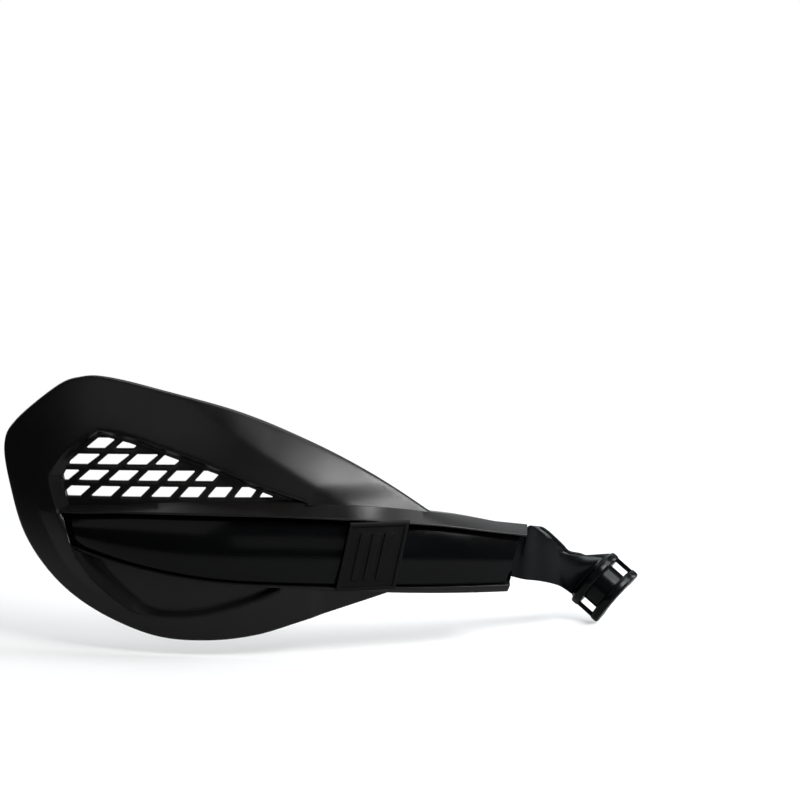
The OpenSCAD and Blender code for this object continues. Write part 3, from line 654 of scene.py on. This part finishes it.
# Point on the line square to the sheet through a screw, at a depth measured along that line
def onNormal(x, depth):
    z = beamMiddle(x)
    return sheetPoint(x, z, 0.0) + sheetNormal(x, z) * depth


strip = dict(
    edge=4.4, foot=2.0, crown=2.6,   # depth of its upper and lower edge, and rise of its face
    wall=2.4, side=8.0,
    corner=(0.9, 0.5),               # rounding where the face meets the upper and the lower side
    end=2.4 / 243,                   # share of the length that each end wall takes
    across=26, steps=170,
    ends=(-294.6, -51.5), turnAt=(52, 30),
    bore=3.4, boss=5.4, insert=4.6, bossFoot=2.0,    # radii of the screw bosses, and heights in them
)


# Section of the strip: crowned face 1-(2u-1)^2, side walls, and the same face inside unless it is full
def stripRows(s, full):
    s = np.asarray(s, float)[:, None]
    x = mix(*strip["ends"], s)
    zt, zb, w = stripTop(x), stripLow(x), strip["wall"]
    u = np.linspace(0, 1, strip["across"])[None, :]
    face = mix(strip["edge"], strip["foot"], u) - strip["crown"] * (1 - (2 * u - 1) ** 2)
    o = x * 0
    side = o + strip["side"]
    inZ = mix(zt - w, zb + w, u)[:, ::-1]
    inD = (face + w + o)[:, ::-1] if not full else inZ * 0 + strip["side"] - 0.1
    z = np.concatenate([zt, mix(zt, zb, u), zb, zb + w, inZ, zt - w], 1)
    d = np.concatenate([side, face + o, side, side, inD, side], 1)
    n = strip["across"]
    top, low = strip["corner"]
    reach = [0.5] + [top] + [0] * (n - 2) + [low] + [0.5, 0.5] + [0] * n + [0.5]
    section = roundCorners(np.stack([z, d], -1), reach)
    z, d = section[..., 0], section[..., 1]
    return sheetPoint(slanted(x, z, s, strip["turnAt"]), z, d)


# The strip: sections that are solid at both ends and hollow between, with four turned bosses inside
def coverStrip():
    end = strip["end"]
    parts = [ringSkin(np.concatenate([
        stripRows([0.0, end], True),
        stripRows(np.linspace(end + 0.0005, 0.9995 - end, strip["steps"]), False),
        stripRows([1 - end, 1.0], True)]))]
    bore, out, foot = strip["bore"], strip["boss"], strip["bossFoot"]
    for kind, seat in (("arm", screws["armSeat"]), ("strip", screws["stripSeat"])):
        profile = [(bore, seat - strip["insert"]), (bore, seat), (out - 0.4, seat), (out, seat - 0.4),
                   (out, foot), (bore, foot)]
        for x in screws[kind]:
            parts.append(turned(profile, onNormal(x, 0.0), sheetNormal(x, beamMiddle(x)), 40))
    return joined(*parts)


badge = dict(
    x=-129.0, width=32.0, thick=2.0, crown=0.8,
    relief=0.8, rim=2.0,             # height and width of the raised rim
    ribs=(-9.0, -2.5, 4.0), ribWidth=4.0,
    ribEnds=(0.16, 0.84),            # where the ribs start and stop, as shares of the height
    away=1.9, round=0.5,             # distance of its face from the sheet's, and rounding of its border
    past=(0.9, 0.5),                 # how far it reaches past the strip, below and above
    lean=0.22, soft=0.18,
    grid=(150, 190),
)


# Soft step of width k from 0 to 1 at zero
def step(t, k):
    return smooth(t / (2 * k) + 0.5)


# The clip's face: relief where the point is near the border or on a rib, over the strip's crown
def badgeClip():
    h, soft = badge["width"] / 2, badge["soft"]
    below, above = badge["past"]
    ends = stripLow(badge["x"]) - beam["gapLower"] - below, stripTop(badge["x"]) + beam["gapUpper"] + above
    tall = ends[1] - ends[0]
    nu, nv = badge["grid"]
    first, last = badge["ribEnds"]
    p = np.linspace(-h, h, nu)[:, None] + np.zeros((1, nv))
    q = np.linspace(0, tall, nv)[None, :] + np.zeros((nu, 1))
    border = np.minimum(h - np.abs(p), np.minimum(q, tall - q))
    up = 1 - step(border - badge["rim"], soft)
    for r in badge["ribs"]:
        rib = (step(p - r, soft) * step(r + badge["ribWidth"] - p, soft)
               * step(q - tall * first, soft) * step(tall * last - q, soft))
        up = np.maximum(up, rib)
    plain = -badge["away"] - badge["crown"] * (1 - (2 * (q / tall) - 1) ** 2)
    face = plain - badge["relief"] * up + rimBack(border, badge["round"])
    z = q + ends[0]
    x = badge["x"] + p + badge["lean"] * (z - sum(ends) / 2)
    front = sheetPoint(x, z, face)
    back = sheetPoint(x, z, plain + badge["thick"])
    points = np.concatenate([front.reshape(-1, 3), back.reshape(-1, 3)])
    quads = gridQuads(nu, nv)
    n = nu * nv
    i, j = np.arange(nu), np.arange(nv)
    rim = np.concatenate([i * nv, (nu - 1) * nv + j[1:], i[::-1][1:] * nv + nv - 1, j[::-1][1:-1]])
    walls = np.stack([rim, np.roll(rim, -1), np.roll(rim, -1) + n, rim + n], 1)
    if volumeOf(points, [quads, quads[:, ::-1] + n]) > 0:
        return points, [quads, quads[:, ::-1] + n, walls[:, ::-1]]
    return points, [quads[:, ::-1], quads + n, walls]


saddle = dict(
    bar=11.1, length=20.0, wall=2.6,     # radius and length of its bore, and its wall
    flange=5.0, flangeWidth=5.4, flangeRound=(0.5, 1.9),
    slotIn=11.8, slotWidth=3.3, slotBar=2.6, slotHigh=3.2, slotRound=0.45,
    edge=4.0,                            # height of its straight edges over the bar's axis
    overlap=0.6,                         # how far wall and slot bars run into the flanges
    down=37.03, turn=23.42,              # the bar's slope and turn in degrees
    crown=(0, -0.985, 0.174),            # the way its crown looks
    join=((-1.6, 1.2, 1.8, 68), (0.6, 0.9, 1.2, 74), (2.6, 0.6, 1.4, 70)),   # along, in, out, half angle
)
barDown, barTurn = math.radians(saddle["down"]), math.radians(saddle["turn"])
barFlat = math.cos(barDown)
barAxis = np.array([barFlat * math.cos(barTurn), -barFlat * math.sin(barTurn), -math.sin(barDown)])
crownNear = np.array(saddle["crown"])
crownDir = unit(crownNear - np.dot(crownNear, barAxis) * barAxis)
tipDir = np.cross(crownDir, barAxis)
arm = dict(
    thick=8.0,                       # reach to the back, of which each row takes a share
    tongue=4.2, play=0.5, front=9.2, tongueBulge=0.2,
    tongueAt=(-112.0, -98.0, -84.0, -70.0, -60.0),
    rows=[                           # top, low, share of the reach, bulge
        ((-50.2, -43.2, 42.7), (-55, -46.4, 17.8), 0.9, 0.9),
        ((-46.9, -42.9, 46.8), (-49.5, -44.3, 15.9), 1.0, 0.9),
        ((-41.3, -37.6, 42.9), (-42, -37.6, 13.4), 1.0, 0.9),
        ((-36, -33.2, 37.2), (-34.6, -31.6, 10.6), 1.0, 0.9),
        ((-31.7, -28.8, 32), (-28.4, -25.5, 7.3), 1.0, 1.1),
        ((-27.2, -24, 26.8), (-24.1, -19.5, 3.4), 0.98, 1.8),
        ((-17.9, -15.5, 23.2), (-20.6, -12, -0.8), 0.9, 4),
    ],
    back=(0.62, 0.78, 0.0), backLast=(0.55, 0.83, 0.0),      # way to the back, and that of the last row
    collar=[(2.75, 8.6), (5.0, 8.6), (5.4, 9.0), (5.4, 13.6), (5.0, 14.0), (2.75, 14.0)],    # radius, depth
    across=30, backShare=(0.06, 0.94),           # steps down a row, and how much of them the back takes
    between=9,                       # rows between two drawn sections
    firstStep=0.085,                 # share of the height between a corner and the next point
    round=(1.6, 1.0),                # reach of the rounding at the front and the back corners
    bead=(56, 103), beadRound=0.9, beadFade=0.12,    # rows with a bead on the top edge, its radius and fade
)


# Shares of a row's height: even ones, with a longer first and last step that leave room for the rounding
def rowShares():
    inner = np.linspace(arm["firstStep"], 1 - arm["firstStep"], arm["across"] - 1)
    return np.concatenate([[0.0], inner, [1.0]])[:, None]


# Front line bulged by 4u(1-u), and the back line a little shorter
def armRow(top, low, back, bulge):
    top, low, back = (np.asarray(v, float) for v in (top, low, back))
    u = rowShares()
    ahead = mix(top, low, u) + np.array([0, -1, 0]) * (bulge * 4 * u * (1 - u))
    behind = mix(top, low, mix(*arm["backShare"], u[::-1])) + back
    return np.concatenate([ahead, behind])


# An arc round the bar outside and the same arc inside, kept above the straight edges
def saddleRow(a, r0, r1, half):
    t = np.radians(half) * (1 - 2 * rowShares())
    outer = barAxis * a + crownDir * r1 * np.cos(t) + tipDir * r1 * np.sin(t)
    inner = barAxis * a + crownDir * r0 * np.cos(t[::-1]) + tipDir * r0 * np.sin(t[::-1])
    row = np.concatenate([outer, inner])
    return row + crownDir * np.maximum(0, saddle["edge"] - row @ crownDir)[:, None]


# A row of the tongue: upright between the strip's walls, at its own depth behind the sheet's face
def tongueRow(x):
    px, py, pz = form["place"]
    margin = arm["play"] + strip["wall"]
    zt, zb = stripTop(x) - margin, stripLow(x) + margin
    zm = beamMiddle(x)
    y = baseY(x, zm) + arm["front"] * stretch(x, zm) + py
    back = [0, arm["tongue"] * stretch(x, zm), 0]
    return armRow([x + px, y, zt + pz], [x + px, y, zb + pz], back, arm["tongueBulge"])


# Rows between the drawn ones by the Catmull cubic of the four nearest rows
def fillRows(rows, m):
    p = np.stack(rows)
    a = np.concatenate([p[:1] * 2 - p[1:2], p[:-2]])
    b, c = p[:-1], p[1:]
    d = np.concatenate([p[2:], p[-1:] * 2 - p[-2:-1]])
    t = (np.arange(m) / m)[None, :, None, None]
    filled = catmull(*(q[:, None] for q in (a, b, c, d)), t)
    return np.concatenate([filled.reshape(-1, *p.shape[1:]), p[-1:]])


# A round bead along a line of points: centre plus radius times (cos a side + sin a up), thin at both ends
def edgeBead(line, radius):
    ahead = unit(np.gradient(line, axis=0))
    side = unit(np.cross(ahead, (0.0, 0.0, 1.0)))
    up = np.cross(side, ahead)
    a = np.linspace(0, 2 * math.pi, 12, endpoint=False)[None, :, None]
    share = np.linspace(0, 1, len(line))
    r = (radius * smooth(np.minimum(share, 1 - share) / arm["beadFade"] + 0.1))[:, None, None]
    return ringSkin(line[:, None] + r * (np.cos(a) * side[:, None] + np.sin(a) * up[:, None]))


# The arm: rows of ring points with their corners rounded, from the tongue to the saddle; then the bead,
# two turned flanges, the saddle's wall between its slots, the slots' outer bars and the screw collars
def mountArm():
    thick, length, w, fw = arm["thick"], saddle["length"], saddle["wall"], saddle["flangeWidth"]
    r, outer = saddle["bar"], saddle["bar"] + saddle["wall"] + saddle["flange"]
    rows = [tongueRow(x) for x in arm["tongueAt"]]
    ways = [arm["back"]] * (len(arm["rows"]) - 1) + [arm["backLast"]]
    rows += [armRow(top, low, np.array(way) * thick * share, bulge)
             for (top, low, share, bulge), way in zip(arm["rows"], ways)]
    rows += [saddleRow(-length / 2 + along, r + more, outer - less, half)
             for along, more, less, half in saddle["join"]]
    rows = fillRows(rows, arm["between"])
    first, last = arm["bead"]
    inward = unit(rows[:, 0] - rows[:, -1])
    bead = edgeBead((rows[:, -1] + inward * arm["beadRound"] * 0.5)[first:last], arm["beadRound"])
    n = rows.shape[1] // 2
    reach = np.full(2 * n, 0.0)
    reach[[0, n - 1]], reach[[n, 2 * n - 1]] = arm["round"]
    parts = [ringSkin(roundCorners(rows, reach, 7)), bead]
    small, large = saddle["flangeRound"]
    tip = math.acos(saddle["edge"] / outer)
    for z in (-length / 2, length / 2 - fw):
        box = np.array([[(r, z), (outer, z), (outer, z + fw), (r, z + fw)]])
        profile = roundCorners(box, [small, large, large, small], 8)[0]
        parts.append(turned(profile, (0, 0, 0), barAxis, 70, -tip, tip, crownDir))
    z0, z1 = -length / 2 + fw - saddle["overlap"], length / 2 - fw + saddle["overlap"]
    slotAt = math.asin(saddle["slotIn"] / (r + w))
    profile = [(r, z0), (r + w, z0), (r + w, z1), (r, z1)]
    parts.append(turned(profile, (0, 0, 0), barAxis, 70, -slotAt, slotAt, crownDir))
    for sign in (-1, 1):
        m0 = saddle["slotIn"] + saddle["slotWidth"]
        m = np.array([m0, m0 + saddle["slotBar"]]) * sign
        e = np.array([saddle["edge"], saddle["edge"] + saddle["slotHigh"]])
        box = np.array([[(m[0], e[0]), (m[1], e[0]), (m[1], e[1]), (m[0], e[1])]])
        ring = roundCorners(box, [saddle["slotRound"]] * 4)[0]
        rows = np.stack([barAxis * a + crownDir * ring[:, 1:] + tipDir * ring[:, :1] for a in (z0, 0.0, z1)])
        parts.append(ringSkin(rows))
    for x in screws["arm"]:
        parts.append(turned(arm["collar"], onNormal(x, 0.0), sheetNormal(x, beamMiddle(x)), 40))
    return joined(*parts)


# A node of a kind with some of its inputs set
def addNode(nodes, kind, values={}):
    node = nodes.new("ShaderNode" + kind)
    for name, value in values.items():
        node.inputs[name].default_value = value
    return node


# A ramp from one value to another between two bounds
def addRange(nodes, bounds, low, high):
    return addNode(nodes, "MapRange", {"From Min": bounds[0], "From Max": bounds[1],
                                       "To Min": low, "To Max": high})


# The emptied nodes and links of a material or world
def emptyTree(owner):
    owner.use_nodes = True
    owner.node_tree.nodes.clear()
    return owner.node_tree.nodes, owner.node_tree.links


# A finish: a broad noise blends its dark and light colour, a middle noise its two roughnesses, a fine noise
# makes the grain, and a wide one bends the surface a little where the look has a wave
def finish(name, look):
    material = bpy.data.materials.new(name)
    nodes, links = emptyTree(material)
    out = addNode(nodes, "OutputMaterial")
    shader = addNode(nodes, "BsdfPrincipled", {"Specular IOR Level": look["specular"],
                                               "Metallic": look.get("metal", 0.0)})
    coords = addNode(nodes, "TexCoord")
    links.new(shader.outputs[0], out.inputs[0])

    def noise(scale, detail, rough=0.55):
        node = addNode(nodes, "TexNoise", {"Scale": scale, "Detail": detail, "Roughness": rough})
        links.new(coords.outputs["Object"], node.inputs["Vector"])
        return node.outputs["Fac"]

    def ranged(value, low, high):
        node = addRange(nodes, (0.3, 0.7), low, high)
        links.new(value, node.inputs["Value"])
        return node.outputs["Result"]

    tint = addNode(nodes, "Mix")
    tint.data_type = "RGBA"
    tint.inputs["A"].default_value = (*look["dark"], 1)
    tint.inputs["B"].default_value = (*look["light"], 1)
    links.new(ranged(noise(look["cloud"], 3), 0, 1), tint.inputs["Factor"])
    links.new(tint.outputs["Result"], shader.inputs["Base Color"])
    links.new(ranged(noise(look["patch"], 4), *look["rough"]), shader.inputs["Roughness"])
    bump = addNode(nodes, "Bump", {"Strength": look["bump"], "Distance": look["bumpHeight"]})
    links.new(noise(look["grain"], 2, 0.6), bump.inputs["Height"])
    if "wave" in look:
        wide = addNode(nodes, "Bump", {"Strength": look["wave"], "Distance": 0.0006})
        links.new(noise(look["waveScale"], 1), wide.inputs["Height"])
        links.new(wide.outputs["Normal"], bump.inputs["Normal"])
    links.new(bump.outputs["Normal"], shader.inputs["Normal"])
    return material


shieldBlack = finish("shieldBlack", dict(
    dark=(0.0050, 0.0043, 0.0041), light=(0.0068, 0.0059, 0.0057), cloud=9, patch=60, rough=(0.29, 0.36),
    grain=1700, bump=0.35, bumpHeight=0.00005, specular=0.33, wave=0.25, waveScale=16))
clipBlack = finish("clipBlack", dict(
    dark=(0.003, 0.0027, 0.0029), light=(0.0042, 0.0038, 0.004), cloud=25, patch=90, rough=(0.44, 0.54),
    grain=1900, bump=0.45, bumpHeight=0.00005, specular=0.16))
stripBlack = finish("stripBlack", dict(
    dark=(0.002, 0.0022, 0.0025), light=(0.003, 0.0033, 0.0037), cloud=14, patch=120, rough=(0.13, 0.2),
    grain=500, bump=0.08, bumpHeight=0.00003, specular=0.16, wave=0.3, waveScale=14))
armBlack = finish("armBlack", dict(
    dark=(0.0013, 0.0017, 0.002), light=(0.0024, 0.003, 0.0034), cloud=40, patch=150, rough=(0.18, 0.27),
    grain=800, bump=0.12, bumpHeight=0.00003, specular=0.12, wave=0.4, waveScale=40))
steel = finish("screwSteel", dict(
    dark=(0.42, 0.42, 0.43), light=(0.55, 0.55, 0.56), cloud=300, patch=700, rough=(0.25, 0.4),
    grain=2500, bump=0.15, bumpHeight=0.00002, specular=0.5, metal=1.0))
brass = finish("insertBrass", dict(
    dark=(0.5, 0.36, 0.14), light=(0.66, 0.5, 0.22), cloud=300, patch=700, rough=(0.25, 0.4),
    grain=2500, bump=0.15, bumpHeight=0.00002, specular=0.5, metal=1.0))
print("materials made")


# Makes a piece with its material, ties it to its body and hides the node it stands for
def addPiece(name, made, material, node):
    piece = makePiece(name, *made, material)
    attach(piece, "root")
    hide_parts(node)
    print(name, len(piece.data.polygons), "faces")


addPiece("shieldMoulding", joined(shieldSheet(), channelBeam()), shieldBlack, "shield")
addPiece("stripMoulding", coverStrip(), stripBlack, "spine")
addPiece("clipMoulding", badgeClip(), clipBlack, "badge_clip")
addPiece("armMoulding", mountArm(), armBlack, "mount_arm")

metals = dict(arm_screws=steel, spine_screws=steel, washers=steel, thread_inserts=brass)
for node, material in metals.items():
    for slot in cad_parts[node].material_slots:
        slot.material = material
print("metal nodes finished")


stage = dict(
    floorZ=cadBox[0][2] - 0.0005, half=6.0, centre=(-0.16, -0.05),
    floor=0.9,                       # floor's own colour, as the camera sees it
    paintedPoolNear=0.38, paintedPoolFar=0.04,   # painted pool of light: the floor's tone for all rays but the camera's, near by and far off, as the object's gloss and bounce show it
    pool=(0.3, 0.75),                # distances over which that painted light darkens
    clear=(0.22, 0.5),               # distances over which the floor turns plain white for the camera
    paintedGlowShare=0.35,                       # share of painted white glow under the object, which paints its shadow lighter
    world=0.03, worldTint=(0.95, 0.98, 1.0, 1),
)
lamps = dict(
    overhead=dict(place=(-0.1, 0.42, 1.4), aim=(-0.12, -0.06, 0.0), size=(1.4, 0.7), power=9),
    behindRight=dict(place=(0.3, 1.15, 0.75), aim=(-0.12, -0.04, 0.06), size=(1.0, 0.6), power=1.5,
                     colour=(0.94, 0.98, 1.0)),
    behindLeft=dict(place=(-0.55, 1.3, 0.4), aim=(-0.16, -0.04, 0.06), size=(1.2, 0.7), power=4),
    key=dict(place=(0.59, -0.55, 0.9), aim=(-0.14, -0.07, 0.08), size=(0.5, 0.42), power=14),
    side=dict(place=(0.72, -0.1, 0.62), aim=(-0.02, -0.02, 0.02), size=(0.25, 0.8), power=7.5,
              colour=(0.9, 0.96, 1.0)),
    sideBack=dict(place=(0.6, 0.33, 0.27), aim=(-0.03, -0.03, 0.04), size=(0.16, 0.5), power=2.2,
                  colour=(0.9, 0.96, 1.0)),
    frontLeft=dict(place=(-0.95, -0.8, 0.88), aim=(-0.22, -0.07, 0.08), size=(1.3, 0.6), power=1.3),
    front=dict(place=(0.08, -1.55, 0.46), aim=(-0.16, -0.08, 0.07), size=(0.9, 0.45), power=0.5),
)
view = dict(place=(-0.1179, -1.2408, 0.3283), tilt=80, lens=100.06, sensor=36.0, near=0.01, far=60)


# A flat square: for the camera, the floor's colour blended to plain white by the distance from the centre,
# with a share of painted white glow kept under the object;
# for all other rays a painted pool of light, a tone that darkens with that distance
def makeFloor():
    mesh = bpy.data.meshes.new("floor")
    s, z = stage["half"], stage["floorZ"]
    mesh.from_pydata([(-s, -s, z), (s, -s, z), (s, s, z), (-s, s, z)], [], [(0, 1, 2, 3)])
    floor = bpy.data.objects.new("floor", mesh)
    scene.collection.objects.link(floor)
    material = bpy.data.materials.new("floorWhite")
    nodes, links = emptyTree(material)
    out = addNode(nodes, "OutputMaterial")
    diffuse = addNode(nodes, "BsdfDiffuse")
    # painted pool of light: for rays other than the camera's the floor's tone falls from near by to far off
    tone = addRange(nodes, stage["pool"], stage["paintedPoolNear"], stage["paintedPoolFar"])
    shown = addNode(nodes, "Mix", {"B": stage["floor"]})
    white = addNode(nodes, "Emission")
    blend = addNode(nodes, "MixShader")
    coords = addNode(nodes, "TexCoord")
    centre = addNode(nodes, "VectorMath")
    centre.operation = "DISTANCE"
    centre.inputs[1].default_value = (*stage["centre"], z)
    # painted light: near the object the camera sees its shadow under a share of white glow, farther off
    # plain white
    ramp = addRange(nodes, stage["clear"], stage["paintedGlowShare"], 1.0)
    tone.interpolation_type = ramp.interpolation_type = "SMOOTHSTEP"
    path = addNode(nodes, "LightPath")
    seen = addNode(nodes, "Math")
    seen.operation = "MULTIPLY"
    links.new(coords.outputs["Object"], centre.inputs[0])
    links.new(centre.outputs["Value"], tone.inputs["Value"])
    links.new(centre.outputs["Value"], ramp.inputs["Value"])
    links.new(tone.outputs["Result"], shown.inputs["A"])
    links.new(path.outputs["Is Camera Ray"], shown.inputs["Factor"])
    links.new(shown.outputs["Result"], diffuse.inputs["Color"])
    links.new(ramp.outputs["Result"], seen.inputs[0])
    links.new(path.outputs["Is Camera Ray"], seen.inputs[1])
    links.new(seen.outputs[0], blend.inputs[0])
    links.new(diffuse.outputs[0], blend.inputs[1])
    links.new(white.outputs[0], blend.inputs[2])
    links.new(blend.outputs[0], out.inputs[0])
    mesh.materials.append(material)


# Plain white for the camera and a dim pale tone for all other rays
def makeWorld():
    world = bpy.data.worlds.new("studio")
    scene.world = world
    nodes, links = emptyTree(world)
    out = addNode(nodes, "OutputWorld")
    soft = addNode(nodes, "Background", {"Color": stage["worldTint"], "Strength": stage["world"]})
    white = addNode(nodes, "Background", {"Color": (1, 1, 1, 1)})
    blend = addNode(nodes, "MixShader")
    path = addNode(nodes, "LightPath")
    links.new(path.outputs["Is Camera Ray"], blend.inputs[0])
    links.new(soft.outputs[0], blend.inputs[1])
    links.new(white.outputs[0], blend.inputs[2])
    links.new(blend.outputs[0], out.inputs[0])


# A soft box: a square lamp turned to look at a point
def softBox(name, place, aim, size, power, colour=(1, 1, 1)):
    lamp = bpy.data.lights.new(name, "AREA")
    lamp.shape = "RECTANGLE"
    lamp.size, lamp.size_y = size
    lamp.energy = power
    lamp.color = colour
    holder = bpy.data.objects.new(name, lamp)
    scene.collection.objects.link(holder)
    holder.location = place
    holder.rotation_euler = (Vector(aim) - Vector(place)).to_track_quat("-Z", "Y").to_euler()


makeFloor()
makeWorld()
for name, lamp in lamps.items():
    softBox(name, **lamp)

camera = bpy.data.cameras.new("camera")
camera.sensor_width, camera.lens = view["sensor"], view["lens"]
camera.clip_start, camera.clip_end = view["near"], view["far"]
cameraHolder = bpy.data.objects.new("camera", camera)
scene.collection.objects.link(cameraHolder)
cameraHolder.location = view["place"]
cameraHolder.rotation_euler = (math.radians(view["tilt"]), 0, 0)
scene.camera = cameraHolder
scene.view_settings.view_transform = "Standard"
print("stage set")
